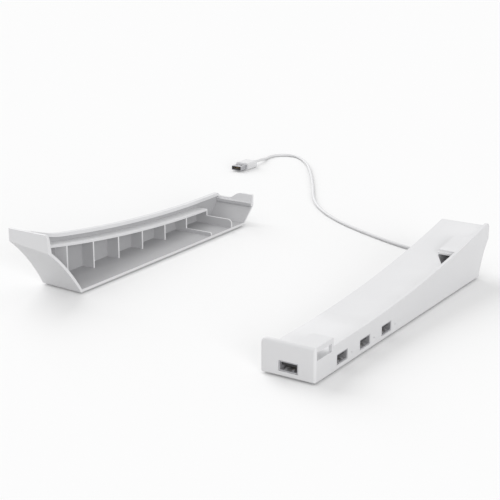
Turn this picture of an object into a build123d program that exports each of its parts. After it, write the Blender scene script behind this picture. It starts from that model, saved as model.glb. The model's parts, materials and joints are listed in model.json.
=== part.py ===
from build123d import *
from math import radians, sqrt, tan
import os

os.makedirs("parts", exist_ok=True)

# A stand of two brackets for the long edges of a console. One bracket holds a data hub with
# a corded plug, and the other is plain. Each bracket is drawn in a frame of its own, with
# x = 0 on its outer face, x = -bracket_width on the side towards the other bracket,
# y = 0 at its low end and z = 0 on the surface that it stands on.

# Both brackets
bracket_length = 282.0
bracket_width = 42.0
bracket_gap = 203.4
bracket_stagger = 25.0
wall = 2.4
edge_round = 0.8

# The dished line that a console's edge lies along
dish_radius = 1340.0
dish_low_y = 30.0

# Rubber feet
foot_gap = 1.4
foot_radius = 4.0
foot_recess = 0.6
foot_fit = 0.15
foot_margin = 9.0
hub_front_foot_y = 34.0
plain_front_foot_y = 52.0
rear_foot_setback = 50.0

# Hub bracket: seat, rim and ends, with heights above the bottom edge
seat_low = 15.0
seat_thickness = 2.2
rim_height = 3.8
front_height = 24.6
front_wall = 2.2
front_corner = 4.5
corner_round = 2.0
rear_round = 4.0
cove_depth = 16.5
cove_height = 28.5
cove_radius = 55.0

# Hub bracket: clips that hold the console's edge down
clip_width = 16.5
clip_length = 23.6
clip_roof = 3.4
clip_post = 2.3
clip_chamfer = 2.5
window_sill = 0.4
pocket_setback = 35.0
pocket_lead = 20.0
pocket_width = 13.2
pocket_depth = 9.0
pocket_wall = 1.8
rear_clip_length = 31.0
rear_clip_roof = 3.0
rear_clip_web = 2.0
rear_clip_lip = 2.0
rear_clip_step = 1.4

# Data ports
port_height_above_edge = 7.1
first_port_y = 36.0
port_pitch = 32.2
side_port_count = 3
front_port_inset = 20.4
port_width = 13.7
port_height = 6.3
port_metal = 0.3
port_length = 14.0
port_flange_width = 14.5
port_flange_height = 7.0
port_flange_thickness = 0.4
port_setback = 0.3
port_cutout_gap = 0.25
port_fit = 0.05
tongue_width = 11.1
tongue_thickness = 1.9
tongue_rise = 0.3
tongue_setback = 1.8
insulator_length = 3.0
contact_places = (-3.5, -1.0, 1.0, 3.5)
contact_width = 1.0
contact_thickness = 0.2
contact_setback = 0.5

# Small lights behind pinholes in the outer wall
light_offset = 13.4
light_hole_radius = 0.6
light_hole_height = 6.0
light_width = 3.0
light_height = 3.0
light_depth = 2.4
light_dome_radius = 0.9

# Bottom cover and its screws
cover_thickness = 1.6
cover_fit = 0.15
cover_screw_inner_margin = 7.0
cover_screw_outer_margin = 8.0
front_screw_y = 12.0
middle_screw_y = 128.0
rear_screw_setback = 32.0
boss_radius = 3.0
boss_hole_depth = 8.0
screw_radius = 1.1
screw_length = 7.0
screw_fit = 0.12
head_radius = 2.1
head_height = 0.8
head_sink = 0.1

# Circuit board and what it carries
board_thickness = 1.2
board_fit = 0.3
board_tail = 17.6
board_hole_gap = 0.3
board_screw_inner_margin = 8.0
board_screw_outer_margin = 11.0
board_screw_front_y = 22.0
board_screw_rear_y = (106.0, 113.0)
pad_radius = 2.5
board_screw_radius = 0.85
board_screw_grip = 1.9
board_head_radius = 1.8
board_head_height = 1.1
chip_place = (-24.0, 80.0)
chip_size = 7.0
chip_height = 0.9
crystal_place = (-24.0, 92.0)
crystal_length = 5.0
crystal_width = 3.2
crystal_height = 1.1
capacitor_radius = 2.0
capacitor_height = 5.4
capacitor_gap = 2.2
header_place = (-30.0, 113.5)
header_width = 7.0
header_depth = 6.0
header_height = 4.5

# Cord, with its strain relief at the hub
cord_diameter = 3.0
relief_x = -30.0
relief_height_above_edge = 8.0
relief_collar_radius = 4.5
relief_collar_length = 3.0
relief_neck_radius = 3.0
relief_fit = 0.15
relief_boot_radius = 3.6
relief_tip_radius = 2.2
relief_boot_length = 14.5
relief_reach = 3.0

# Lead inside the housing, from the header on the board to the strain relief
lead_straight = 15.5
lead_bend_x = (-26.0, -21.0, -23.5)
lead_lifts = (0.6, 0.0, 0.6)

# Plug
plug_place = (-229.5, 317.0)
plug_shell_width = 12.0
plug_shell_height = 4.5
plug_shell_length = 12.0
plug_window = 2.3
plug_window_x = 2.9
plug_window_y = 5.9
plug_grip_width = 16.0
plug_grip_height = 8.0
plug_grip_length = 18.0
plug_grip_round = 2.2
plug_tail_radius = 3.4
plug_tail_tip_radius = 2.1
plug_tail_length = 8.0
plug_tongue_setback = 0.6

# Plain bracket, with heights above the bottom edge
ledge_low = 16.0
ledge_thickness = 1.8
ledge_width = 14.5
rail_low = 22.9
rail_height = 3.0
rail_overhang = 2.0
rail_start = 4.0
floor_thickness = 2.4
rib_count = 7
rib_start = 36.0
last_rib_setback = 50.4
rib_thickness = 1.6
cross_rib_heights = (7.5, 3.0)
low_end_slant = 16.5
low_end_height = 15.2
low_end_top = 20.0
low_end_tab_top = 25.8
low_end_tab_width = 12.0
low_end_sweep_start = 14.0
low_end_step = 2.7
low_end_step_depth = 2.0
lip_top = 54.0
lip_height = 10.2
lip_slope = 0.33
lip_corner = 3.0
lip_inset = 3.0
lip_blend = 120.0
prow_depth = 35.5
prow_radius = 150.0
prow_drop = 4.6

# Heights above the surface that the brackets stand on
base = foot_gap
seat_z = base + seat_low
rim_z = seat_z + rim_height
front_top = base + front_height
cover_top = base + cover_thickness
port_z = base + port_height_above_edge
board_top = port_z - port_height / 2
board_bottom = board_top - board_thickness
relief_z = base + relief_height_above_edge
ledge_z = base + ledge_low
rail_z = base + rail_low

# Places of the two brackets
half_span = bracket_gap / 2 + bracket_width
half_total = (bracket_length + bracket_stagger) / 2
hub_location = Pos(half_span, -half_total, 0)
plain_location = Pos(-half_span, half_total, 0) * Rot(0, 0, 180)

hub_feet_y = (hub_front_foot_y, bracket_length - rear_foot_setback)
plain_feet_y = (plain_front_foot_y, bracket_length - rear_foot_setback)
side_port_y = [first_port_y + i * port_pitch for i in range(side_port_count)]
board_end_y = side_port_y[-1] + board_tail
pocket_end = bracket_length - pocket_setback
relief_tip = bracket_length + relief_reach
relief_start = relief_tip - relief_boot_length
rib_pitch = (bracket_length - last_rib_setback - rib_start) / (rib_count - 1)
port_locations = [Pos(-front_port_inset, port_setback, port_z)]
for port_y in side_port_y:
    port_locations.append(Pos(-port_setback, port_y, port_z) * Rot(0, 0, 90))

on_bottom = (Align.CENTER, Align.CENTER, Align.MIN)
from_mouth = (Align.CENTER, Align.MIN, Align.CENTER)


def block(x1, x2, y1, y2, z1, z2):
    # a box given by its two corners
    box = Box(x2 - x1, y2 - y1, z2 - z1, align=(Align.MIN, Align.MIN, Align.MIN))
    return Pos(x1, y1, z1) * box


def side_prism(edges, x1, x2):
    # an outline in y and z, drawn out from x1 to x2
    face = Plane.YZ.offset(x1) * make_face(edges)
    return extrude(face, x2 - x1, dir=(1, 0, 0))


def dish_z(y, low):
    # height at y of the dished line whose lowest point is low
    return low + dish_radius - sqrt(dish_radius**2 - (y - dish_low_y) ** 2)


def dish_arc(y1, y2, low):
    points = [(y, dish_z(y, low)) for y in (y1, (y1 + y2) / 2, y2)]
    return ThreePointArc(*points)


def dish_band(y1, y2, low, high, x1, x2):
    # the space between two dished lines
    edges = [
        dish_arc(y1, y2, low),
        Line((y2, dish_z(y2, low)), (y2, dish_z(y2, high))),
        dish_arc(y2, y1, high),
        Line((y1, dish_z(y1, high)), (y1, dish_z(y1, low))),
    ]
    return side_prism(edges, x1, x2)


def turned(points):
    # a round piece about the y axis, from points of radius and y
    return revolve(make_face(Polyline(*points, close=True)), Axis.Y)


def rectangle_tube(width, height, length, thickness):
    # a tube along y with its mouth at y = 0
    outside = Box(width, length, height, align=from_mouth)
    inside = Box(width - 2 * thickness, length, height - 2 * thickness, align=from_mouth)
    return outside - inside


def circle_centre(start, end, radius):
    # centre of the arc from start to end that bulges to the left
    (y1, z1), (y2, z2) = start, end
    chord = sqrt((y2 - y1) ** 2 + (z2 - z1) ** 2)
    rise = sqrt(radius**2 - chord**2 / 4)
    return ((y1 + y2) / 2 + rise * (z2 - z1) / chord, (z1 + z2) / 2 - rise * (y2 - y1) / chord)


# Hub bracket: the hollow rear face, with heights above the bottom edge
cove_centre = circle_centre((bracket_length - cove_depth, 0), (bracket_length, cove_height), cove_radius)


def cove_y(height, inset):
    return cove_centre[0] - sqrt((cove_radius + inset) ** 2 - (height - cove_centre[1]) ** 2)


def cove_arc(height, inset):
    # from the given height down to the bottom edge
    points = [(cove_y(h, inset), base + h) for h in (height, height / 2, 0)]
    return ThreePointArc(*points)


def housing_outline(top_edges, top_rear_z):
    # the side outline below a given top line
    rear = bracket_length
    return top_edges + [
        Line((rear, top_rear_z), (rear, base + cove_height)),
        cove_arc(cove_height, 0),
        Line((rear - cove_depth, base), (0, base)),
    ]


def housing_body():
    top = [
        Line((0, base), (0, dish_z(0, seat_z))),
        dish_arc(0, bracket_length, seat_z),
    ]
    outline = housing_outline(top, dish_z(bracket_length, seat_z))
    return side_prism(outline, -bracket_width, 0)


def housing_outer_wall():
    top = [
        Line((0, base), (0, front_top)),
        Line((0, front_top), (clip_length, front_top)),
        Line((clip_length, front_top), (clip_length, dish_z(clip_length, rim_z))),
        dish_arc(clip_length, bracket_length, rim_z),
    ]
    outline = housing_outline(top, dish_z(bracket_length, rim_z))
    strip = side_prism(outline, -wall, 0)
    rear_top = strip.edges().filter_by(Axis.X).sort_by(Axis.Z)[-1]
    return fillet(rear_top, rear_round)


def housing_front():
    plate = block(-bracket_width, 0, 0, front_wall, base, front_top)
    corner = plate.edges().filter_by(Axis.Y).group_by(Axis.Z)[-1].sort_by(Axis.X)[0]
    plate = fillet(corner, front_corner)
    roof = block(-clip_width, 0, 0, clip_length, front_top - clip_roof, front_top)
    roof_corner = roof.edges().filter_by(Axis.Z).group_by(Axis.Y)[-1].sort_by(Axis.X)[0]
    return plate + chamfer(roof_corner, clip_chamfer)


def housing_cavity():
    rear = bracket_length - wall
    low = seat_z - seat_thickness
    height = cove_centre[1] + sqrt((cove_radius + wall) ** 2 - (cove_centre[0] - rear) ** 2)
    edges = [
        Line((front_wall, base), (front_wall, dish_z(front_wall, low))),
        dish_arc(front_wall, rear, low),
        Line((rear, dish_z(rear, low)), (rear, base + height)),
        cove_arc(height, wall),
        Line((cove_y(0, wall), base), (front_wall, base)),
    ]
    return side_prism(edges, wall - bracket_width, -wall)


rear_clip_end = pocket_end + rear_clip_web
rear_clip_start = rear_clip_end - rear_clip_length
pocket_x = -wall - pocket_width
pocket_floor = seat_z - pocket_depth


def pocket_space(margin, low, high):
    # the pocket between two dished lines: it runs out slantwise in front of the clip
    corners = [
        (-wall, rear_clip_start - pocket_lead),
        (-wall, pocket_end),
        (pocket_x, pocket_end),
        (pocket_x, rear_clip_start),
    ]
    plan = make_face(Polyline(*corners, close=True))
    if margin > 0:
        plan = offset(plan, margin, kind=Kind.INTERSECTION)
    y1 = rear_clip_start - 2 * pocket_lead
    band = dish_band(y1, pocket_end + margin, low, high, pocket_x - margin, -wall)
    return band & extrude(plan, dish_z(bracket_length, high))


def rear_clip():
    # a roof at the height of the rim, with a thin stepped lip and a web behind it
    y1 = rear_clip_start
    y2 = rear_clip_end
    under = rim_z - rear_clip_roof
    roof = dish_band(y1 + rear_clip_lip, y2, under, rim_z, pocket_x, 0)
    lip = dish_band(y1, y1 + rear_clip_lip, under, rim_z - rear_clip_step, pocket_x, 0)
    web = dish_band(pocket_end, y2, seat_z - seat_thickness, rim_z, pocket_x, 0)
    return roof + lip + web


def screw_places():
    columns = (cover_screw_inner_margin - bracket_width, -cover_screw_outer_margin)
    rows = (front_screw_y, middle_screw_y, bracket_length - rear_screw_setback)
    return [(x, y) for x in columns for y in rows]


def board_screw_places():
    columns = (board_screw_inner_margin - bracket_width, -board_screw_outer_margin)
    fronts = [(x, board_screw_front_y) for x in columns]
    return fronts + list(zip(columns, board_screw_rear_y))


def bosses(body):
    posts = Part()
    for x, y in screw_places():
        posts += Pos(x, y, cover_top) * Cylinder(boss_radius, front_height + lip_top, align=on_bottom)
    return posts & body


def make_hub_upper_housing():
    body = housing_body()
    shell = body + housing_outer_wall() + housing_front()
    uprights = shell.edges().filter_by(Axis.Z).group_by(Axis.Y)[0]
    shell = fillet(uprights, corner_round)
    shell = fillet(shell.edges().group_by(Axis.Z)[0], edge_round)
    shell -= housing_cavity()
    shell += pocket_space(pocket_wall, pocket_floor - pocket_wall, seat_z) + bosses(body)
    shell -= pocket_space(0, pocket_floor, rim_z)
    shell += rear_clip()

    window_top = front_top - clip_roof
    window_end = clip_length - clip_post
    shell -= block(-wall, 0, front_wall, window_end, seat_z + window_sill, window_top)

    cut_width = port_flange_width + 2 * port_cutout_gap
    cut_height = port_flange_height + 2 * port_cutout_gap
    cutout = Pos(0, -port_setback, 0) * Box(cut_width, wall, cut_height, align=from_mouth)
    for location in port_locations:
        shell -= location * cutout
    pinhole = Rot(0, 90, 0) * Cylinder(light_hole_radius, 2 * wall + 2 * edge_round)
    for y in side_port_y:
        shell -= Pos(-wall, y + light_offset, base + light_hole_height) * pinhole

    relief_hole = Rot(-90, 0, 0) * Cylinder(relief_neck_radius + relief_fit, cove_depth, align=on_bottom)
    shell -= Pos(relief_x, bracket_length - cove_depth - 2 * wall, relief_z) * relief_hole
    thread_hole = Cylinder(screw_radius + screw_fit, boss_hole_depth, align=on_bottom)
    for x, y in screw_places():
        shell -= Pos(x, y, cover_top) * thread_hole
    return shell


def make_hub_bottom_cover():
    x1 = wall + cover_fit - bracket_width
    y2 = cove_y(0, wall) - cover_fit
    cover = block(x1, -wall - cover_fit, front_wall + cover_fit, y2, base, cover_top)
    for x, y in board_screw_places():
        cover += Pos(x, y, cover_top) * Cylinder(pad_radius, board_bottom - cover_top, align=on_bottom)
    board_hole = Cylinder(board_screw_radius + screw_fit, board_screw_grip + screw_fit, align=on_bottom)
    for x, y in board_screw_places():
        cover -= Pos(x, y, board_bottom - board_screw_grip - screw_fit) * board_hole
    through = Cylinder(screw_radius + screw_fit, cover_thickness, align=on_bottom)
    head_room = Cylinder(head_radius + screw_fit, head_height + head_sink, align=on_bottom)
    for x, y in screw_places():
        cover -= Pos(x, y, base) * (through + head_room)
    return cover - foot_recesses(hub_feet_y)


def foot_places(feet_y):
    return [(x, y) for x in (-foot_margin, foot_margin - bracket_width) for y in feet_y]


def foot_recesses(feet_y):
    recesses = Part()
    for x, y in foot_places(feet_y):
        recesses += Pos(x, y, base) * Cylinder(foot_radius + foot_fit, foot_recess, align=on_bottom)
    return recesses


def make_foot():
    foot = Cylinder(foot_radius, foot_gap + foot_recess, align=on_bottom)
    return fillet(foot.edges().group_by(Axis.Z)[0], foot_gap / 4)


def make_cover_screws():
    head_base = base + head_sink
    shank_length = head_height + screw_length
    screw = Cylinder(head_radius, head_height, align=on_bottom)
    screw += Cylinder(screw_radius, shank_length, align=on_bottom)
    return [Pos(x, y, head_base) * screw for x, y in screw_places()]


def make_circuit_board():
    x1 = wall + board_fit - bracket_width
    y1 = front_wall + board_fit
    board = block(x1, -wall - board_fit, y1, board_end_y, board_bottom, board_top)
    boss_hole = Cylinder(boss_radius + board_hole_gap, board_thickness, align=on_bottom)
    for x, y in screw_places():
        if y < board_end_y:
            board -= Pos(x, y, board_bottom) * boss_hole
    screw_hole = Cylinder(board_screw_radius + screw_fit, board_thickness, align=on_bottom)
    for x, y in board_screw_places():
        board -= Pos(x, y, board_bottom) * screw_hole
    return board


def make_board_screws():
    shank = board_thickness + board_screw_grip
    screw = Cylinder(board_head_radius, board_head_height, align=on_bottom)
    screw += Pos(0, 0, -shank) * Cylinder(board_screw_radius, shank, align=on_bottom)
    return [Pos(x, y, board_top) * screw for x, y in board_screw_places()]


def make_capacitors():
    # one beside the back of each port
    places = [(-front_port_inset, port_setback + port_length + capacitor_gap + capacitor_radius)]
    for y in side_port_y:
        places.append((-port_setback - port_length - capacitor_gap - capacitor_radius, y))
    can = Cylinder(capacitor_radius, capacitor_height, align=on_bottom)
    can = fillet(can.edges().group_by(Axis.Z)[-1], capacitor_radius / 8)
    return [Pos(x, y, board_top) * can for x, y in places]


def make_on_board(place, width, depth, height):
    x, y = place
    return Pos(x, y, board_top) * Box(width, depth, height, align=on_bottom)


def make_port_light(y):
    # a small block with a domed lens that faces its pinhole
    x2 = -wall - board_fit
    half = light_width / 2
    x1 = x2 - light_depth
    top = board_top + light_height
    body = block(x1, x2 - light_dome_radius, y - half, y + half, board_top, top)
    dome = Sphere(light_dome_radius)
    lens_z = base + light_hole_height
    lens = Pos(x2 - light_dome_radius, y, lens_z) * dome
    return body + lens


def make_port_shell():
    tube = rectangle_tube(port_width, port_height, port_length, port_metal)
    rim = Box(port_flange_width, port_flange_thickness, port_flange_height, align=from_mouth)
    bore_width = port_width - 2 * port_metal
    bore_height = port_height - 2 * port_metal
    rim -= Box(bore_width, port_flange_thickness, bore_height, align=from_mouth)
    return tube + rim


def make_port_tongue():
    # the insulator: a block that closes the shell's back, and the tongue in its upper half
    width = port_width - 2 * (port_metal + port_fit)
    height = port_height - 2 * (port_metal + port_fit)
    back_y = port_length - insulator_length
    back = Pos(0, back_y, 0) * Box(width, insulator_length, height, align=from_mouth)
    half = tongue_width / 2
    tongue = block(-half, half, tongue_setback, back_y, tongue_rise, tongue_rise + tongue_thickness)
    return back + tongue


def contact_strips(y1, y2, z1, z2):
    half = contact_width / 2
    return [block(x - half, x + half, y1, y2, z1, z2) for x in contact_places]


def make_port_contacts():
    y1 = tongue_setback + contact_setback
    y2 = port_length - insulator_length
    return contact_strips(y1, y2, tongue_rise - contact_thickness, tongue_rise)


# Strain relief and the lead inside the housing


def make_strain_relief():
    collar_y = cove_y(relief_height_above_edge - relief_collar_radius, wall) - board_fit
    collar_start = collar_y - relief_collar_length
    profile = [
        (0, collar_start),
        (relief_collar_radius, collar_start),
        (relief_collar_radius, collar_y),
        (relief_neck_radius, collar_y),
        (relief_neck_radius, relief_start),
        (relief_boot_radius, relief_start),
        (relief_tip_radius, relief_tip),
        (0, relief_tip),
    ]
    return Pos(relief_x, 0, relief_z) * turned(profile), collar_start


def tube_along(points, diameter, label):
    # straight runs joined by arcs, each arc as large as its two runs allow
    route = [Vector(*point) for point in points]
    radii = []
    for before, corner, after in zip(route, route[1:], route[2:]):
        turn = (corner - before).get_angle(after - corner)
        run = min((corner - before).length, (after - corner).length)
        radii.append(0.45 * run / tan(radians(turn / 2)))
    path = FilletPolyline(*route, radius=radii)
    start = Plane(origin=route[0], z_dir=route[1] - route[0])
    tube = sweep(start * Circle(diameter / 2), path=path)
    print(label, "length", round(path.length, 1), "volume", round(tube.volume, 1))
    print(label, "section times length", round(path.length * Circle(diameter / 2).area, 1))
    print(label, "radii", [round(radius, 1) for radius in radii])
    return tube


def make_inner_lead(collar_start):
    # from the header on the board to the strain relief, along the cover
    x, y = header_place
    header_y = y + header_depth / 2
    header_z = board_top + header_height / 2
    floor_z = cover_top + cord_diameter / 2
    first_y = header_y + lead_straight
    last_y = collar_start - lead_straight
    pitch = (last_y - first_y) / (len(lead_bend_x) + 1)
    points = [(x, header_y, header_z), (x, first_y, header_z)]
    for i, (bend_x, lift) in enumerate(zip(lead_bend_x, lead_lifts), 1):
        points.append((bend_x, first_y + i * pitch, floor_z + lift))
    points += [(relief_x, last_y, relief_z), (relief_x, collar_start, relief_z)]
    return tube_along(points, cord_diameter, "inner lead")


# Cord and plug, placed in the stand's own frame

plug_x, plug_mouth_y = plug_place
plug_z = plug_grip_height / 2
plug_tail_y = plug_mouth_y + plug_shell_length + plug_grip_length + plug_tail_length
exit_x = half_span + relief_x
exit_y = relief_tip - half_total
cord_z = cord_diameter / 2


def make_cord():
    points = [
        (exit_x, exit_y, relief_z),
        (exit_x, exit_y + 3.25 * cord_diameter, relief_z),
        (108.7, 149.8, 7.2),
        (100.1, 154.6, 4.0),
        (88.0, 154.4, cord_z),
        (71.0, 151.6, cord_z),
        (53.2, 155.2, cord_z),
        (26.0, 166.2, cord_z),
        (-6.0, 181.0, cord_z),
        (-38.5, 199.2, cord_z),
        (-69.0, 223.5, cord_z),
        (-94.3, 253.2, cord_z),
        (-124.0, 303.5, cord_z),
        (-156.0, 353.5, cord_z),
        (-175.8, 381.5, cord_z),
        (-190.0, 396.8, cord_z),
        (-202.5, 408.7, cord_z),
        (-213.2, 414.3, cord_z),
        (-224.0, 413.0, cord_z),
        (-232.3, 406.1, cord_z),
        (-235.3, 395.7, cord_z),
        (-232.8, 383.2, cord_z),
        (plug_x, 368.6, plug_z),
        (plug_x, plug_tail_y, plug_z),
    ]
    return tube_along(points, cord_diameter, "cord")


def at_plug(piece):
    return Pos(plug_x, plug_mouth_y, plug_z) * piece


def make_plug_shell():
    shell = rectangle_tube(plug_shell_width, plug_shell_height, plug_shell_length, port_metal)
    window = Box(plug_window, plug_window, plug_shell_height)
    for x in (-plug_window_x, plug_window_x):
        shell -= Pos(x, plug_window_y, 0) * window
    return shell


def make_plug_overmould():
    grip = Box(plug_grip_width, plug_grip_length, plug_grip_height, align=from_mouth)
    grip = fillet(grip.edges().filter_by(Axis.Y), plug_grip_round)
    grip = fillet(grip.edges().group_by(Axis.Y)[-1], edge_round)
    tail = turned([
        (0, plug_grip_length),
        (plug_tail_radius, plug_grip_length),
        (plug_tail_tip_radius, plug_grip_length + plug_tail_length),
        (0, plug_grip_length + plug_tail_length),
    ])
    return Pos(0, plug_shell_length, 0) * (grip + tail)


def make_plug_tongue():
    half = plug_shell_width / 2 - port_metal - port_fit
    bottom = port_metal + port_fit - plug_shell_height / 2
    return block(-half, half, plug_tongue_setback, plug_shell_length, bottom, bottom + tongue_thickness)


def make_plug_contacts():
    top = port_metal + port_fit - plug_shell_height / 2 + tongue_thickness
    y1 = plug_tongue_setback + contact_setback
    return contact_strips(y1, plug_shell_length, top, top + contact_thickness)


# Plain bracket

prow_foot = (bracket_length - prow_depth, base)
prow_top = (bracket_length, base + lip_top - lip_height)
prow_centre = circle_centre(prow_foot, prow_top, prow_radius)


def prow_y(z, inset):
    return prow_centre[0] - sqrt((prow_radius + inset) ** 2 - (z - prow_centre[1]) ** 2)


def prow_arc(z1, z2, inset):
    return ThreePointArc(*[(prow_y(z, inset), z) for z in (z1, (z1 + z2) / 2, z2)])


def rail_rise_z(y):
    # the straight rise of the rail to the top of the lip
    return base + lip_top - lip_slope * (bracket_length - y)


def rail_meeting_y():
    # where the rise starts from the dished line, found by halving
    low = bracket_length / 2
    high = bracket_length - lip_height
    for _ in range(40):
        middle = (low + high) / 2
        if rail_rise_z(middle) < dish_z(middle, rail_z):
            low = middle
        else:
            high = middle
    return high


def plain_side_face(drop):
    # the side outline under the rail's top line, lowered by drop
    meeting = rail_meeting_y()
    top = base + lip_top - drop
    low_top = base + low_end_top - drop
    edges = [
        Line((0, base + low_end_height), (0, low_top)),
        Line((0, low_top), (rail_start, dish_z(rail_start, rail_z - drop))),
        dish_arc(rail_start, meeting, rail_z - drop),
        Line((meeting, dish_z(meeting, rail_z - drop)), (bracket_length, top)),
        Line((bracket_length, top), prow_top),
        prow_arc(prow_top[1], base, 0),
        Line(prow_foot, (low_end_slant, base)),
        Line((low_end_slant, base), (0, base + low_end_height)),
    ]
    face = make_face(edges)
    corner = face.vertices().sort_by_distance((meeting, dish_z(meeting, rail_z - drop)))[0]
    return fillet(corner, lip_blend)


def plain_side_prism(drop, x1, x2):
    face = Plane.YZ.offset(x1) * plain_side_face(drop)
    return extrude(face, x2 - x1, dir=(1, 0, 0))


def tall_end_wall():
    # drawn out slantwise, so that the prow comes down by prow_drop towards the open side
    top = base + lip_top
    inner_z = prow_top[1]
    edges = [
        Line((bracket_length, top + prow_drop), prow_top),
        prow_arc(prow_top[1], base, 0),
        Line(prow_foot, (prow_y(base, wall), base)),
        prow_arc(base, inner_z, wall),
        Line((prow_y(inner_z, wall), inner_z), (bracket_length - wall, top + prow_drop)),
        Line((bracket_length - wall, top + prow_drop), (bracket_length, top + prow_drop)),
    ]
    way = Vector(-bracket_width, 0, -prow_drop)
    end = extrude(Plane.YZ * make_face(edges), way.length, dir=way)
    y1 = bracket_length - 2 * prow_depth
    lean = Polyline((-bracket_width, base), (0, base), (0, top), (lip_inset - bracket_width, top), close=True)
    end &= Pos(0, y1, 0) * extrude(Plane.XZ * make_face(lean), 2 * prow_depth, dir=(0, 1, 0))
    corner = end.edges().filter_by(Axis.Y).group_by(Axis.Z)[-1].sort_by(Axis.X)[0]
    return fillet(corner, lip_corner)


def plain_floor_plate():
    # its slanted end lies within the foot of the tall end wall
    y2 = bracket_length - prow_depth - wall / 2
    y3 = prow_y(base + prow_drop, 0) - wall / 2
    x1 = -bracket_width
    plan = Polyline((0, low_end_slant), (0, y2), (x1, y3), (x1, low_end_slant), close=True)
    return Pos(0, 0, base) * extrude(make_face(plan), floor_thickness)


def low_end_wall():
    # a slanted foot, then an upright wall whose top sweeps up to a tab at the open side
    knee = base + low_end_height
    slant_edges = [
        Line((low_end_slant, base), (0, knee)),
        Line((0, knee), (wall, knee)),
        Line((wall, knee), (low_end_slant + wall, base)),
        Line((low_end_slant + wall, base), (low_end_slant, base)),
    ]
    slant = side_prism(slant_edges, -bracket_width, 0)
    low = base + low_end_top
    high = base + low_end_tab_top
    sweep_end = low_end_tab_width - bracket_width
    middle = (sweep_end - low_end_sweep_start) / 2
    top_edges = [
        Line((0, knee), (0, low)),
        Line((0, low), (-low_end_sweep_start, low)),
        Bezier((-low_end_sweep_start, low), (middle, low), (middle, high), (sweep_end, high)),
        Line((sweep_end, high), (-bracket_width, high)),
        Line((-bracket_width, high), (-bracket_width, knee)),
        Line((-bracket_width, knee), (0, knee)),
    ]
    upright = extrude(Plane.XZ * make_face(top_edges), wall, dir=(0, 1, 0))
    step = block(-bracket_width, 0, wall, wall + low_end_step_depth, knee, knee + low_end_step)
    return slant + upright + step


def make_plain_bracket():
    outer = plain_side_prism(0, -wall, 0)
    band = plain_side_prism(0, -wall - rail_overhang, -wall)
    band -= plain_side_prism(rail_height, -wall - rail_overhang, -wall)
    bracket = outer + band + tall_end_wall() + low_end_wall() + plain_floor_plate()

    room = plain_side_prism(0, -ledge_width, -wall)
    under = ledge_z - ledge_thickness
    ledge = dish_band(rib_start, bracket_length, under, ledge_z, -ledge_width, -wall)
    bracket += ledge & room
    for i in range(rib_count):
        y = rib_start + i * rib_pitch
        rib_top = dish_z(y, ledge_z) - ledge_thickness / 2
        bracket += block(-ledge_width, -wall, y, y + rib_thickness, base, rib_top)
    floor_top = base + floor_thickness
    for i, height in enumerate(cross_rib_heights):
        y = rib_start + i * rib_pitch
        rib = block(-bracket_width, -ledge_width, y, y + rib_thickness, base, floor_top + height)
        corner = rib.edges().filter_by(Axis.Y).group_by(Axis.Z)[-1].sort_by(Axis.X)[0]
        bracket += fillet(corner, height / 2)
    return bracket - foot_recesses(plain_feet_y)


def save(node, shape):
    export_step(shape, "parts/" + node + ".step")


def save_group(node, shapes):
    save(node, Compound(children=list(shapes)))


save("hub_upper_housing", hub_location * make_hub_upper_housing())
save("hub_bottom_cover", hub_location * make_hub_bottom_cover())
save("plain_bracket", plain_location * make_plain_bracket())
for number, (x, y) in enumerate(foot_places(hub_feet_y), 1):
    save(f"hub_foot_{number}", hub_location * Pos(x, y, 0) * make_foot())
for number, (x, y) in enumerate(foot_places(plain_feet_y), 1):
    save(f"plain_foot_{number}", plain_location * Pos(x, y, 0) * make_foot())
save_group("cover_screws", [hub_location * screw for screw in make_cover_screws()])

save("circuit_board", hub_location * make_circuit_board())
save_group("board_screws", [hub_location * screw for screw in make_board_screws()])
save("controller_chip", hub_location * make_on_board(chip_place, chip_size, chip_size, chip_height))
save("crystal", hub_location * make_on_board(crystal_place, crystal_length, crystal_width, crystal_height))
save_group("capacitors", [hub_location * can for can in make_capacitors()])
save("lead_header", hub_location * make_on_board(header_place, header_width, header_depth, header_height))
for number, y in enumerate(side_port_y, 1):
    save(f"port_light_{number}", hub_location * make_port_light(y + light_offset))
for number, location in enumerate(port_locations, 1):
    place = hub_location * location
    save(f"port_shell_{number}", place * make_port_shell())
    save(f"port_tongue_{number}", place * make_port_tongue())
    save_group(f"port_contacts_{number}", [place * strip for strip in make_port_contacts()])

strain_relief, lead_end = make_strain_relief()
save("strain_relief", hub_location * strain_relief)
save("inner_lead", hub_location * make_inner_lead(lead_end))
save("cord", make_cord())
save("plug_overmould", at_plug(make_plug_overmould()))
save("plug_shell", at_plug(make_plug_shell()))
save("plug_tongue", at_plug(make_plug_tongue()))
save_group("plug_contacts", [at_plug(strip) for strip in make_plug_contacts()])
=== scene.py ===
import bmesh
import bpy
import json
import math
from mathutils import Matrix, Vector


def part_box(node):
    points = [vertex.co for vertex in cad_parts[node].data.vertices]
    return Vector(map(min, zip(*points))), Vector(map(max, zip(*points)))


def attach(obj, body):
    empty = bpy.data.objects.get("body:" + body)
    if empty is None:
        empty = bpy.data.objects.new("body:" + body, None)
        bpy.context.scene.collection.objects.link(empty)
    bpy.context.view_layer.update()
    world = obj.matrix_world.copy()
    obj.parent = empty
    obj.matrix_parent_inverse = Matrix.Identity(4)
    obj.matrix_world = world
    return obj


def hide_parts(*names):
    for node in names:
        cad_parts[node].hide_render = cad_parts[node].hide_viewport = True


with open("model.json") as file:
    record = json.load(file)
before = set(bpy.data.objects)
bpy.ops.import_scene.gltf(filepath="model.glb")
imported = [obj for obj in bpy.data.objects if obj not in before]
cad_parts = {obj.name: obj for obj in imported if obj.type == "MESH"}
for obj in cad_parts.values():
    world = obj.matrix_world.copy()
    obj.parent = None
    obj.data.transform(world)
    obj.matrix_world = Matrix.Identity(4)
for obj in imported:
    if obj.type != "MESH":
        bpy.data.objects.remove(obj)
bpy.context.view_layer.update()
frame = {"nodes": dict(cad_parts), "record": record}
mm = 0.001
print("frame loaded,", len(frame["nodes"]), "nodes")


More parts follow.
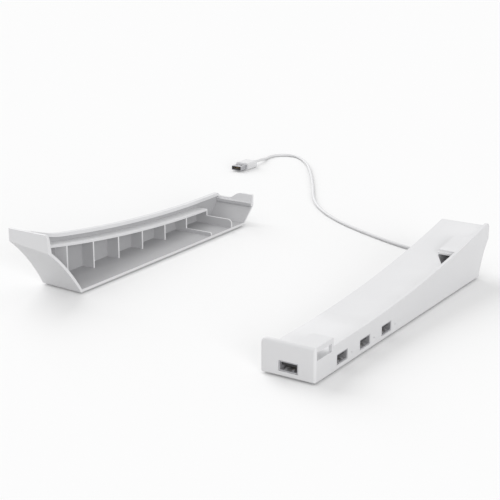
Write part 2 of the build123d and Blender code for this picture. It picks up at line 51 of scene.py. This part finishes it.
# shader sums written as Python sums


class Wire:
    def __init__(self, maker, socket):
        self.maker = maker
        self.socket = socket

    def sum(self, operation, first, second):
        node = self.maker.node("ShaderNodeMath", settings={"operation": operation})
        self.maker.feed(node.inputs[0], first)
        self.maker.feed(node.inputs[1], second)
        return self.maker.wire(node)

    def __add__(self, other):
        return self.sum("ADD", self, other)

    def __radd__(self, other):
        return self.sum("ADD", other, self)

    def __sub__(self, other):
        return self.sum("SUBTRACT", self, other)

    def __rsub__(self, other):
        return self.sum("SUBTRACT", other, self)

    def __mul__(self, other):
        return self.sum("MULTIPLY", self, other)

    def __rmul__(self, other):
        return self.sum("MULTIPLY", other, self)


class NodeMaker:
    def __init__(self, tree):
        self.tree = tree
        tree.nodes.clear()

    def node(self, kind, settings=None, **sockets):
        made = self.tree.nodes.new(kind)
        for name, value in (settings or {}).items():
            setattr(made, name, value)
        for name, value in sockets.items():
            self.feed(made.inputs[name.replace("_", " ")], value)
        return made

    def feed(self, socket, value):
        if isinstance(value, Wire):
            self.tree.links.new(value.socket, socket)
        else:
            socket.default_value = value

    def join(self, start, end):
        self.tree.links.new(start, end)

    def wire(self, node, output=0):
        return Wire(self, node.outputs[output])

    def objectPlace(self):
        return self.wire(self.node("ShaderNodeTexCoord"), "Object")

    def noise(self, scale, detail=2.0, place=None):
        if place is None:
            place = self.objectPlace()
        return self.wire(self.node("ShaderNodeTexNoise", Vector=place, Scale=scale, Detail=detail))

    def blend(self, share, first, second):
        made = self.node("ShaderNodeMix", settings={"data_type": "RGBA"})
        for place, value in ((0, share), (6, first), (7, second)):  # 6 and 7 are its two colours
            self.feed(made.inputs[place], value)
        return self.wire(made, 2)

    def mixShaders(self, share, first, second):
        made = self.node("ShaderNodeMixShader", Fac=share)
        self.join(first.outputs[0], made.inputs[1])
        self.join(second.outputs[0], made.inputs[2])
        return made

    def finish(self, shader, output):
        self.join(shader.outputs[0], self.node(output).inputs[0])

    def bump(self, height, strength, distance):
        made = self.node("ShaderNodeBump", Height=height, Strength=strength, Distance=distance)
        return self.wire(made)

    def shownToViewer(self):
        # what the camera meets, on its own or in a mirror or through glass
        rays = self.node("ShaderNodeLightPath")
        seen = self.wire(rays, "Is Camera Ray") + self.wire(rays, "Is Glossy Ray")
        return seen + self.wire(rays, "Is Transmission Ray")


# camera, floor and light

# set to the photograph's view
cameraSpec = {
    "place": (0.5144, -0.8021, 0.3193),
    "heading": 32.97,  # degrees to the left of +Y
    "pitch": 16.95,  # degrees below level
    "lens": 90.0,
    "near": 0.01,
    "far": 50.0,
}


def makeCamera(spec):
    data = bpy.data.cameras.new("viewCamera")
    data.lens = spec["lens"]
    data.clip_start = spec["near"]
    data.clip_end = spec["far"]
    eye = bpy.data.objects.new("viewCamera", data)
    eye.location = spec["place"]
    eye.rotation_euler = (math.radians(90.0 - spec["pitch"]), 0.0, math.radians(spec["heading"]))
    bpy.context.scene.collection.objects.link(eye)
    bpy.context.scene.camera = eye


floorSpec = {
    "size": 14.0,
    "colour": (0.93, 0.93, 0.93, 1.0),
    "bounce": (0.60, 0.60, 0.60, 1.0),  # what it throws back on the brackets
    "white": (0.97, 0.97, 0.975, 1.0),
    "whiteShare": 0.06,
}


def makeFloor(spec):
    half = spec["size"] / 2
    mesh = bpy.data.meshes.new("floor")
    corners = [(-half, -half, 0.0), (half, -half, 0.0), (half, half, 0.0), (-half, half, 0.0)]
    mesh.from_pydata(corners, [], [(0, 1, 2, 3)])
    plane = bpy.data.objects.new("floor", mesh)
    bpy.context.scene.collection.objects.link(plane)
    mesh.materials.append(makeFloorPaint(spec))


# an irradiance of 1 turns a white matte surface into plain white
lampSpec = {
    "world": {"strength": 0.68, "background": 0.96, "colour": (1.0, 1.0, 1.0, 1.0)},
    "key": {"from": (-0.84, 0.34, 0.60), "irradiance": 0.50, "angle": 50.0},
    "fill": {"from": (0.79, -0.62, 0.22), "irradiance": 0.43, "angle": 30.0},
}


def makeLamp(name, spec):
    data = bpy.data.lights.new(name, "SUN")
    data.energy = spec["irradiance"] * math.pi
    data.angle = math.radians(spec["angle"])
    lamp = bpy.data.objects.new(name, data)
    lamp.rotation_euler = Vector(spec["from"]).to_track_quat("Z", "Y").to_euler()
    bpy.context.scene.collection.objects.link(lamp)


def makeWorld(spec):
    world = bpy.data.worlds.new("studio")
    bpy.context.scene.world = world
    world.use_nodes = True
    maker = NodeMaker(world.node_tree)
    lit = maker.node("ShaderNodeBackground", Color=spec["colour"], Strength=spec["strength"])
    bare = maker.node("ShaderNodeBackground", Color=spec["colour"], Strength=spec["background"])
    maker.finish(maker.mixShaders(maker.shownToViewer(), lit, bare), "ShaderNodeOutputWorld")


def newMaterial(name):
    material = bpy.data.materials.new(name)
    material.use_nodes = True
    return material, NodeMaker(material.node_tree)


def makeFloorPaint(spec):
    material, maker = newMaterial("floorPaint")
    diffuse = maker.node("ShaderNodeBsdfDiffuse", Color=spec["colour"])
    white = maker.node("ShaderNodeEmission", Color=spec["white"], Strength=1.0)
    bounce = maker.node("ShaderNodeBsdfDiffuse", Color=spec["bounce"])
    shown = maker.mixShaders(spec["whiteShare"], diffuse, white)
    maker.finish(maker.mixShaders(maker.shownToViewer(), bounce, shown), "ShaderNodeOutputMaterial")
    return material


# finishes

plasticFinishes = {
    "whiteShell": {
        "colour": (0.735, 0.735, 0.745), "shade": 0.965, "rough": 0.42, "roughSpread": 0.08,
        "grain": 2600.0, "grainDepth": 0.012, "mottle": 45.0,
    },
    "trayPaintedShade": {  # painted shade: the inside of the tray is coloured darker to stand in for the shade in its recesses; it is also rougher and more grained
        "colour": (0.46, 0.46, 0.47), "shade": 0.95, "rough": 0.62, "roughSpread": 0.1,
        "grain": 1900.0, "grainDepth": 0.03, "mottle": 60.0,
    },
    "softCord": {
        "colour": (0.76, 0.76, 0.77), "shade": 0.95, "rough": 0.5, "roughSpread": 0.08,
        "grain": 3200.0, "grainDepth": 0.01, "mottle": 60.0,
    },
    "footRubber": {
        "colour": (0.30, 0.30, 0.31), "shade": 0.85, "rough": 0.75, "roughSpread": 0.1,
        "grain": 1800.0, "grainDepth": 0.03, "mottle": 120.0,
    },
    "chipBlack": {
        "colour": (0.018, 0.018, 0.02), "shade": 0.7, "rough": 0.45, "roughSpread": 0.12,
        "grain": 4000.0, "grainDepth": 0.01, "mottle": 300.0,
    },
    "headerWhite": {
        "colour": (0.70, 0.70, 0.68), "shade": 0.93, "rough": 0.4, "roughSpread": 0.08,
        "grain": 3500.0, "grainDepth": 0.01, "mottle": 200.0,
    },
    "lightClear": {
        "colour": (0.72, 0.77, 0.83), "shade": 0.9, "rough": 0.12, "roughSpread": 0.05,
        "grain": 1500.0, "grainDepth": 0.004, "mottle": 300.0,
    },
    "boardGreen": {
        "colour": (0.02, 0.16, 0.07), "shade": 0.6, "rough": 0.3, "roughSpread": 0.1,
        "grain": 2200.0, "grainDepth": 0.02, "mottle": 160.0,
    },
}


def shaded(colour, shade):
    return (*[channel * shade for channel in colour], 1.0)


def makePlastic(name, spec):
    material, maker = newMaterial(name)
    mottle = maker.noise(spec["mottle"], detail=3.0)
    grain = maker.noise(spec["grain"], detail=2.0)
    colour = maker.blend(mottle, shaded(spec["colour"], spec["shade"]), shaded(spec["colour"], 1.0))
    rough = (mottle - 0.5) * spec["roughSpread"] + (grain - 0.5) * spec["roughSpread"] + spec["rough"]
    normal = maker.bump(grain, 1.0, spec["grainDepth"] * mm)
    surface = maker.node("ShaderNodeBsdfPrincipled", Base_Color=colour, Roughness=rough, Normal=normal)
    maker.finish(surface, "ShaderNodeOutputMaterial")
    return material


metalFinishes = {
    "plugMetal": {"colour": (0.52, 0.52, 0.54), "metallic": 0.9, "rough": 0.30, "streak": 0.12},
    "portMetal": {"colour": (0.52, 0.52, 0.54), "metallic": 0.5, "rough": 0.42, "streak": 0.15},
    "screwSteel": {"colour": (0.52, 0.52, 0.54), "metallic": 1.0, "rough": 0.35, "streak": 0.15},
    "partMetal": {"colour": (0.62, 0.62, 0.64), "metallic": 1.0, "rough": 0.3, "streak": 0.1},
    "contactGold": {"colour": (0.83, 0.58, 0.22), "metallic": 1.0, "rough": 0.25, "streak": 0.1},
}


metalGrain = {
    "streakScale": (1800.0, 1800.0, 9000.0),
    "streakDepth": 0.002,
    "cloudScale": 400.0,
    "cloudShade": 0.82,
    "cloudRough": 0.1,
}


def makeMetal(name, spec, grain):
    material, maker = newMaterial(name)
    stretched = maker.node("ShaderNodeMapping", Vector=maker.objectPlace(), Scale=grain["streakScale"])
    streaks = maker.noise(1.0, place=maker.wire(stretched))
    cloud = maker.noise(grain["cloudScale"])
    colour = maker.blend(cloud, shaded(spec["colour"], grain["cloudShade"]), shaded(spec["colour"], 1.0))
    rough = (streaks - 0.5) * spec["streak"] + (cloud - 0.5) * grain["cloudRough"] + spec["rough"]
    normal = maker.bump(streaks, 1.0, grain["streakDepth"] * mm)
    surface = maker.node("ShaderNodeBsdfPrincipled", Base_Color=colour, Metallic=spec["metallic"],
                         Roughness=rough, Normal=normal)
    maker.finish(surface, "ShaderNodeOutputMaterial")
    return material


slotFinishes = {
    "white_shell": "whiteShell",
    "foot_rubber": "footRubber",
    "screw_steel": "screwSteel",
    "board_green": "boardGreen",
    "chip_black": "chipBlack",
    "part_metal": "partMetal",
    "header_white": "headerWhite",
    "light_clear": "lightClear",
    "port_metal": "portMetal",
    "contact_gold": "contactGold",
    "cord_white": "softCord",
    "plug_metal": "plugMetal",
}


def paintNodes(finishes):
    for row in frame["record"]["subparts"]:
        node = frame["nodes"][row["node"]]
        paint = finishes[slotFinishes[row["material_slot"]]]
        if not node.material_slots:
            node.data.materials.append(paint)
        for place in node.material_slots:
            place.material = paint


# edges that are rounded a little, as on any moulding

softEdges = {
    "hub_upper_housing": {"name": "hubHousing", "slot": "white_shell", "round": 0.4},
    "plain_bracket": {"name": "plainBracket", "slot": "white_shell", "round": 0.35},
    "hub_bottom_cover": {"name": "hubCover", "slot": "white_shell", "round": 0.25},
    "plug_overmould": {"name": "plugGrip", "slot": "cord_white", "round": 0.3},
    "plug_shell": {"name": "plugShell", "slot": "plug_metal", "round": 0.08},
}
for i in range(1, 5):
    softEdges[f"port_shell_{i}"] = {"name": f"portShell{i}", "slot": "port_metal", "round": 0.1}
copySpec = {
    "mergeWithin": 0.0005,
    "flatAngle": math.radians(0.4),
    "sharpAngle": math.radians(30.0),
    "bevelSteps": 2,
}


def addPiece(name, shape, paint, slot, *nodes):
    shape.materials.clear()
    shape.materials.append(paint)
    piece = bpy.data.objects.new(name, shape)
    bpy.context.scene.collection.objects.link(piece)
    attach(piece, "root")
    if nodes:
        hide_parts(*nodes)
    return piece


def mergedCopy(node, name):
    cad = bmesh.new()
    cad.from_mesh(frame["nodes"][node].data)
    bmesh.ops.remove_doubles(cad, verts=cad.verts, dist=copySpec["mergeWithin"] * mm)
    bmesh.ops.dissolve_limit(cad, angle_limit=copySpec["flatAngle"], verts=cad.verts, edges=cad.edges)
    for face in cad.faces:
        face.smooth = True
    mesh = bpy.data.meshes.new(name)
    cad.to_mesh(mesh)
    cad.free()
    mesh.set_sharp_from_angle(angle=copySpec["sharpAngle"])
    return mesh


def roundEdges(piece, width):
    bevel = piece.modifiers.new("edges", "BEVEL")
    bevel.width = width * mm
    bevel.segments = copySpec["bevelSteps"]
    bevel.limit_method = "ANGLE"
    bevel.angle_limit = copySpec["sharpAngle"]
    bevel.harden_normals = True
    bevel.use_clamp_overlap = True


def makeSoftEdges(node, spec, paint):
    piece = addPiece(spec["name"], mergedCopy(node, spec["name"]), paint, spec["slot"], node)
    roundEdges(piece, spec["round"])
    return piece


# inner faces of the plain bracket's tray, in mm, which get a darker finish as painted shade

traySpec = {
    "wallX": -140.5,
    "openX": -102.2,
    "floorTop": 3.5,
    "plateTop": 5.0,
    "rearY": 151.0,
    "lowEndY": 125.0,  # past it lies the low end wall
    "prowY": -60.0,  # before it lies the prow
    "square": 0.9,  # how straight a face looks along an axis
    "slanted": 0.3,
}


def isInTray(centre, normal, spec):
    square = spec["square"]
    slanted = spec["slanted"]
    if centre.z <= spec["floorTop"] or centre.x > spec["openX"] or centre.y > spec["rearY"]:
        return False
    if normal.x > square:
        return centre.x < spec["wallX"]
    if normal.z > square:
        return centre.z < spec["plateTop"]
    if centre.y > spec["lowEndY"]:
        return normal.y < -slanted
    if centre.y < spec["prowY"]:
        return normal.y > slanted or normal.z < -square
    return abs(normal.y) > square or normal.z < -square


# painted shade: the tray's inner faces get the second, darker finish, which stands in for the shade in its
# recesses
def paintTrayShade(piece, spec, paint):
    piece.data.materials.append(paint)
    for face in piece.data.polygons:
        if isInTray(face.center / mm, face.normal, spec):
            face.material_index = 1


# a tree of Geometry Nodes, put together in the script


class TreeMaker:
    def __init__(self, name):
        self.tree = bpy.data.node_groups.new(name, "GeometryNodeTree")
        self.inputs = {}
        self.addInput("Geometry", "NodeSocketGeometry")
        self.tree.interface.new_socket("Geometry", in_out="OUTPUT", socket_type="NodeSocketGeometry")
        self.given = self.tree.nodes.new("NodeGroupInput")

    def addInput(self, name, kind):
        socket = self.tree.interface.new_socket(name, in_out="INPUT", socket_type=kind)
        self.inputs[name] = socket.identifier
        return socket

    def addSizes(self, sizes):
        for name, value in sizes.items():
            self.addInput(name, "NodeSocketFloat").default_value = value * mm
        self.addInput("Paint", "NodeSocketMaterial")

    def read(self, name):
        return self.given.outputs[name]

    def node(self, kind, settings=None, sockets=None):
        made = self.tree.nodes.new(kind)
        for name, value in (settings or {}).items():
            setattr(made, name, value)
        for name, value in (sockets or {}).items():
            socket = made.inputs[name]
            if isinstance(value, bpy.types.NodeSocket):
                self.tree.links.new(value, socket)
            else:
                socket.default_value = value
        return made

    def sum(self, operation, first, second):
        made = self.node("ShaderNodeMath", {"operation": operation}, {0: first, 1: second})
        return made.outputs[0]

    def lift(self, geometry, height):
        place = self.node("ShaderNodeCombineXYZ", None, {2: height})
        moved = self.node("GeometryNodeTransform", None, {
            "Geometry": geometry, "Translation": place.outputs[0]})
        return moved.outputs[0]

    def rod(self, sides, radius, length):
        return self.node("GeometryNodeMeshCylinder", None, {
            "Vertices": sides, "Radius": radius, "Depth": length}).outputs["Mesh"]

    def join(self, *pieces):
        made = self.node("GeometryNodeJoinGeometry")
        for piece in pieces:
            self.tree.links.new(piece, made.inputs[0])
        return made.outputs[0]

    def combine(self, operation, first, *others):
        made = self.node("GeometryNodeMeshBoolean", {"operation": operation, "solver": "MANIFOLD"})
        if first:
            self.tree.links.new(first, made.inputs["Mesh 1"])
        for piece in others:
            self.tree.links.new(piece, made.inputs["Mesh 2"])
        return made.outputs["Mesh"]

    def finish(self, piece):
        # the piece on each point of the given mesh, turned by the point's own angles
        turn = self.node("GeometryNodeInputNamedAttribute", {"data_type": "FLOAT_VECTOR"}, {"Name": "turn"})
        angles = self.node("FunctionNodeEulerToRotation", None, {0: turn.outputs[0]})
        placed = self.node("GeometryNodeInstanceOnPoints", None, {
            "Points": self.read("Geometry"), "Instance": piece, "Rotation": angles.outputs[0]})
        real = self.node("GeometryNodeRealizeInstances", None, {0: placed.outputs[0]})
        painted = self.node("GeometryNodeSetMaterial", None, {
            "Geometry": real.outputs[0], "Material": self.read("Paint")})
        self.tree.links.new(painted.outputs[0], self.node("NodeGroupOutput").inputs[0])


def growPiece(name, maker, places, sizes, paint, slot, *nodes):
    # places holds each copy's point in mm and its angles in degrees, and sizes are in mm
    seeds = bpy.data.meshes.new(name + "Seeds")
    seeds.from_pydata([[value * mm for value in point] for point, turn in places], [], [])
    turns = seeds.attributes.new("turn", "FLOAT_VECTOR", "POINT")
    for row, (point, turn) in zip(turns.data, places):
        row.vector = [math.radians(angle) for angle in turn]
    holder = bpy.data.objects.new(name + "Seeds", seeds)
    bpy.context.scene.collection.objects.link(holder)
    grower = holder.modifiers.new("grow", "NODES")
    grower.node_group = maker.tree
    grower[maker.inputs["Paint"]] = paint
    for key, value in sizes.items():
        grower[maker.inputs[key]] = value * mm
    bpy.context.view_layer.update()
    shaped = holder.evaluated_get(bpy.context.evaluated_depsgraph_get())
    mesh = bpy.data.meshes.new_from_object(shaped)
    mesh.name = name
    bpy.data.objects.remove(holder)
    return addPiece(name, mesh, paint, slot, *nodes)


# screws of the bottom cover, with cross recesses

screwSpec = {
    "columns": (108.7, 135.7),
    "rows": (-141.5, -25.5, 96.5),
    "underside": 1.5,
    "sizes": {
        "Head Radius": 2.1, "Head Height": 0.8, "Shank Radius": 1.05, "Shank Length": 7.0,
        "Recess Length": 2.3, "Recess Width": 0.5, "Recess Depth": 0.5,
    },
    "headSides": 32,
    "shankSides": 20,
    "turns": (12.0, 57.0, 33.0, 81.0, 5.0, 44.0),
}


def makeScrewTree():
    maker = TreeMaker("crossScrew")
    maker.addSizes(screwSpec["sizes"])
    headHeight = maker.read("Head Height")
    head = maker.rod(screwSpec["headSides"], maker.read("Head Radius"), headHeight)
    halfHead = maker.sum("MULTIPLY", headHeight, 0.5)
    head = maker.lift(head, halfHead)
    shankDepth = maker.sum("ADD", maker.read("Shank Length"), halfHead)  # it starts inside the head
    shank = maker.rod(screwSpec["shankSides"], maker.read("Shank Radius"), shankDepth)
    shank = maker.lift(shank, maker.sum("ADD", halfHead, maker.sum("MULTIPLY", shankDepth, 0.5)))
    body = maker.combine("UNION", None, head, shank)
    depth = maker.sum("MULTIPLY", maker.read("Recess Depth"), 2.0)  # half of each bar is in the head
    length = maker.read("Recess Length")
    width = maker.read("Recess Width")
    bars = []
    for x, y in ((length, width), (width, length)):
        size = maker.node("ShaderNodeCombineXYZ", None, {0: x, 1: y, 2: depth})
        bars.append(maker.node("GeometryNodeMeshCube", None, {"Size": size.outputs[0]}).outputs["Mesh"])
    maker.finish(maker.combine("DIFFERENCE", body, *bars))
    return maker


def makeScrews(paint):
    turns = iter(screwSpec["turns"])
    places = []
    for x in screwSpec["columns"]:
        for y in screwSpec["rows"]:
            places.append(((x, y, screwSpec["underside"]), (0.0, 0.0, next(turns))))
    return growPiece("coverScrews", makeScrewTree(), places, screwSpec["sizes"], paint,
                     "screw_steel", "cover_screws")


# leaf springs inside the data ports

springSpec = {
    "sizes": {"Leaf Width": 2.0, "Leaf Length": 7.0, "Leaf Rise": 0.85, "Leaf Thickness": 0.22},
    "narrowing": 0.35,  # share of its width that a leaf loses at its inner end
    "gridPoints": (5, 15),
    "mergeWithin": 0.001,
    "offset": 2.7,  # from the port's middle to each leaf's
    "setback": 1.2,  # from the port's mouth to a leaf's outer end
    "ports": ("port_shell_1", "port_shell_2", "port_shell_3", "port_shell_4"),
    "shellHeight": 6.3,
    "shellWall": 0.3,
}


def makeSpringTree():
    # a leaf that lies along +Y from its point and bows up along +Z
    maker = TreeMaker("portSpring")
    maker.addSizes(springSpec["sizes"])
    width = maker.read("Leaf Width")
    length = maker.read("Leaf Length")
    across, down = springSpec["gridPoints"]
    grid = maker.node("GeometryNodeMeshGrid", None, {
        "Size X": width, "Size Y": length, "Vertices X": across, "Vertices Y": down}).outputs["Mesh"]
    place = maker.node("GeometryNodeInputPosition").outputs[0]
    parts = maker.node("ShaderNodeSeparateXYZ", None, {0: place})
    along = maker.sum("DIVIDE", parts.outputs[1], length)
    square = maker.sum("MULTIPLY", maker.sum("MULTIPLY", along, along), 4.0)  # 1 at both ends
    rise = maker.sum("MULTIPLY", maker.sum("SUBTRACT", 1.0, square), maker.read("Leaf Rise"))
    loss = maker.sum("MULTIPLY", maker.sum("ADD", along, 0.5), -springSpec["narrowing"])
    slim = maker.sum("MULTIPLY", parts.outputs[0], loss)
    shift = maker.sum("MULTIPLY", length, 0.5)
    move = maker.node("ShaderNodeCombineXYZ", None, {0: slim, 1: shift, 2: rise})
    bowed = maker.node("GeometryNodeSetPosition", None, {"Geometry": grid, "Offset": move.outputs[0]})
    thick = maker.node("GeometryNodeExtrudeMesh", {"mode": "FACES"}, {
        "Mesh": bowed.outputs[0], "Offset Scale": maker.read("Leaf Thickness"), "Individual": False})
    back = maker.node("GeometryNodeFlipFaces", None, {"Mesh": bowed.outputs[0]})
    closed = maker.node("GeometryNodeMergeByDistance", None, {
        "Geometry": maker.join(thick.outputs["Mesh"], back.outputs[0]),
        "Distance": springSpec["mergeWithin"] * mm})
    maker.finish(closed.outputs[0])
    return maker


def makeSprings(paint):
    places = []
    half = springSpec["shellHeight"] / 2 - springSpec["shellWall"]
    for number, node in enumerate(springSpec["ports"]):
        low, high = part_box(node)
        middle = [(a + b) / 2 / mm for a, b in zip(low, high)]
        for side in (-1, 1):
            offset = side * springSpec["offset"]
            for height, roll in ((-half, 0.0), (half, 180.0)):
                if number == 0:  # this port looks to the front, the others outwards
                    spot = (middle[0] + offset, low[1] / mm + springSpec["setback"], middle[2] + height)
                    turn = (0.0, roll, 0.0)
                else:
                    spot = (high[0] / mm - springSpec["setback"], middle[1] + offset, middle[2] + height)
                    turn = (0.0, roll, 90.0)
                places.append((spot, turn))
    return growPiece("portSprings", makeSpringTree(), places, springSpec["sizes"], paint, "port_metal")


# strain relief: a tapered boot with grooves, in the hollow rear face

reliefSpec = {
    "node": "strain_relief",
    "collarRadius": 4.5,
    "collarLength": 3.0,
    "neckRadius": 3.0,
    "bootRadius": 3.6,
    "tipRadius": 2.2,
    "bootLength": 14.5,
    "chamfer": 0.3,
    "tipLand": 0.4,
    "grooves": 5,
    "grooveStart": 0.4,
    "grooveMargin": 1.0,
    "grooveDepth": 0.55,
    # shares of the pitch and of the groove's depth
    "groovePoints": ((0.08, 0.0), (0.50, 0.0), (0.62, 1.0), (0.88, 1.0)),
    "tipDepth": 0.5,  # how deep the grooves still are at the tip
    "steps": 40,
    "sharpAngle": math.radians(50.0),
}


def reliefProfile(spec, length):
    # radius and distance from the collar's face, in mm
    bootStart = length - spec["bootLength"]
    chamfer = spec["chamfer"]
    rows = [
        (0.0, 0.0),
        (spec["collarRadius"] - chamfer, 0.0),
        (spec["collarRadius"], chamfer),
        (spec["collarRadius"], spec["collarLength"]),
        (spec["neckRadius"], spec["collarLength"]),
        (spec["neckRadius"], bootStart),
        (spec["bootRadius"] - chamfer, bootStart),
    ]
    pitch = (spec["bootLength"] - spec["grooveMargin"]) / spec["grooves"]
    for i in range(spec["grooves"]):
        for share, sunk in spec["groovePoints"]:
            along = spec["grooveStart"] + (i + share) * pitch
            taper = along / spec["bootLength"]
            radius = spec["bootRadius"] + (spec["tipRadius"] - spec["bootRadius"]) * taper
            depth = sunk * spec["grooveDepth"] * (1.0 - (1.0 - spec["tipDepth"]) * taper)
            rows.append((radius - depth, bootStart + along))
    rows += [
        (spec["tipRadius"], length - spec["tipLand"]),
        (spec["tipRadius"] - chamfer, length),
        (0.0, length),
    ]
    return rows


def makeRelief(spec, paint):
    low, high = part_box(spec["node"])
    centreX = (low[0] + high[0]) / 2
    centreZ = (low[2] + high[2]) / 2
    shape = bmesh.new()
    rows = reliefProfile(spec, (high[1] - low[1]) / mm)
    points = [shape.verts.new((centreX + radius * mm, low[1] + along * mm, centreZ))
              for radius, along in rows]
    edges = [shape.edges.new(pair) for pair in zip(points, points[1:])]
    bmesh.ops.spin(shape, geom=points + edges, cent=(centreX, 0.0, centreZ), axis=(0.0, 1.0, 0.0),
                   angle=math.tau, steps=spec["steps"], use_merge=True)
    bmesh.ops.remove_doubles(shape, verts=shape.verts, dist=copySpec["mergeWithin"] * mm)
    bmesh.ops.recalc_face_normals(shape, faces=shape.faces)
    for face in shape.faces:
        face.smooth = True
    mesh = bpy.data.meshes.new("reliefBoot")
    shape.to_mesh(mesh)
    shape.free()
    mesh.set_sharp_from_angle(angle=spec["sharpAngle"])
    return addPiece("reliefBoot", mesh, paint, "cord_white", spec["node"])


# cord

cordSpec = {
    "diameter": 3.0,
    "length": 531.0,
    "ringSteps": 6,
    "lengthSteps": 12,
    "order": 3,
    "points": [
        (113.7, 131.5, 9.4),
        (113.7, 141.25, 9.4),
        (108.7, 149.8, 7.2),
        (100.1, 154.6, 4.0),
        (88.0, 154.4, 1.5),
        (71.0, 151.6, 1.5),
        (53.2, 155.2, 1.5),
        (26.0, 166.2, 1.5),
        (-6.0, 181.0, 1.5),
        (-38.5, 199.2, 1.5),
        (-69.0, 223.5, 1.5),
        (-94.3, 253.2, 1.5),
        (-124.0, 303.5, 1.5),
        (-156.0, 353.5, 1.5),
        (-175.8, 381.5, 1.5),
        (-190.0, 396.8, 1.5),
        (-202.5, 408.7, 1.5),
        (-213.2, 414.3, 1.5),
        (-224.0, 413.0, 1.5),
        (-232.3, 406.1, 1.5),
        (-235.3, 395.7, 1.5),
        (-232.8, 383.2, 1.5),
        (-229.5, 368.6, 4.0),
        (-229.5, 355.0, 4.0),
    ],
}


def makeCord(spec, paint):
    curve = bpy.data.curves.new("flexCord", "CURVE")
    curve.dimensions = "3D"
    curve.bevel_depth = spec["diameter"] * mm / 2
    curve.bevel_resolution = spec["ringSteps"]
    curve.resolution_u = spec["lengthSteps"]
    curve.use_fill_caps = True
    line = curve.splines.new("NURBS")
    line.points.add(len(spec["points"]) - 1)
    for point, place in zip(line.points, spec["points"]):
        point.co = (*[value * mm for value in place], 1.0)
    line.order_u = spec["order"]
    line.use_endpoint_u = True
    return addPiece("flexCord", curve, paint, "cord_white", "cord")


# building

makeCamera(cameraSpec)
makeWorld(lampSpec["world"])
makeLamp("keyLamp", lampSpec["key"])
makeLamp("fillLamp", lampSpec["fill"])
makeFloor(floorSpec)
print("camera, floor and light made")

finishes = {name: makePlastic(name, spec) for name, spec in plasticFinishes.items()}
finishes.update({name: makeMetal(name, spec, metalGrain) for name, spec in metalFinishes.items()})
paintNodes(finishes)
print("finishes made")

soft = {node: makeSoftEdges(node, spec, finishes[slotFinishes[spec["slot"]]])
        for node, spec in softEdges.items()}
# painted shade on the inside of the plain bracket's tray
paintTrayShade(soft["plain_bracket"], traySpec, finishes["trayPaintedShade"])
print("rounded shells made")

makeScrews(finishes["screwSteel"])
makeSprings(finishes["portMetal"])
print("screws and springs made")

boot = makeRelief(reliefSpec, finishes["softCord"])
cordPiece = makeCord(cordSpec, finishes["softCord"])
print("cord made")

bpy.context.scene.view_settings.view_transform = "Standard"
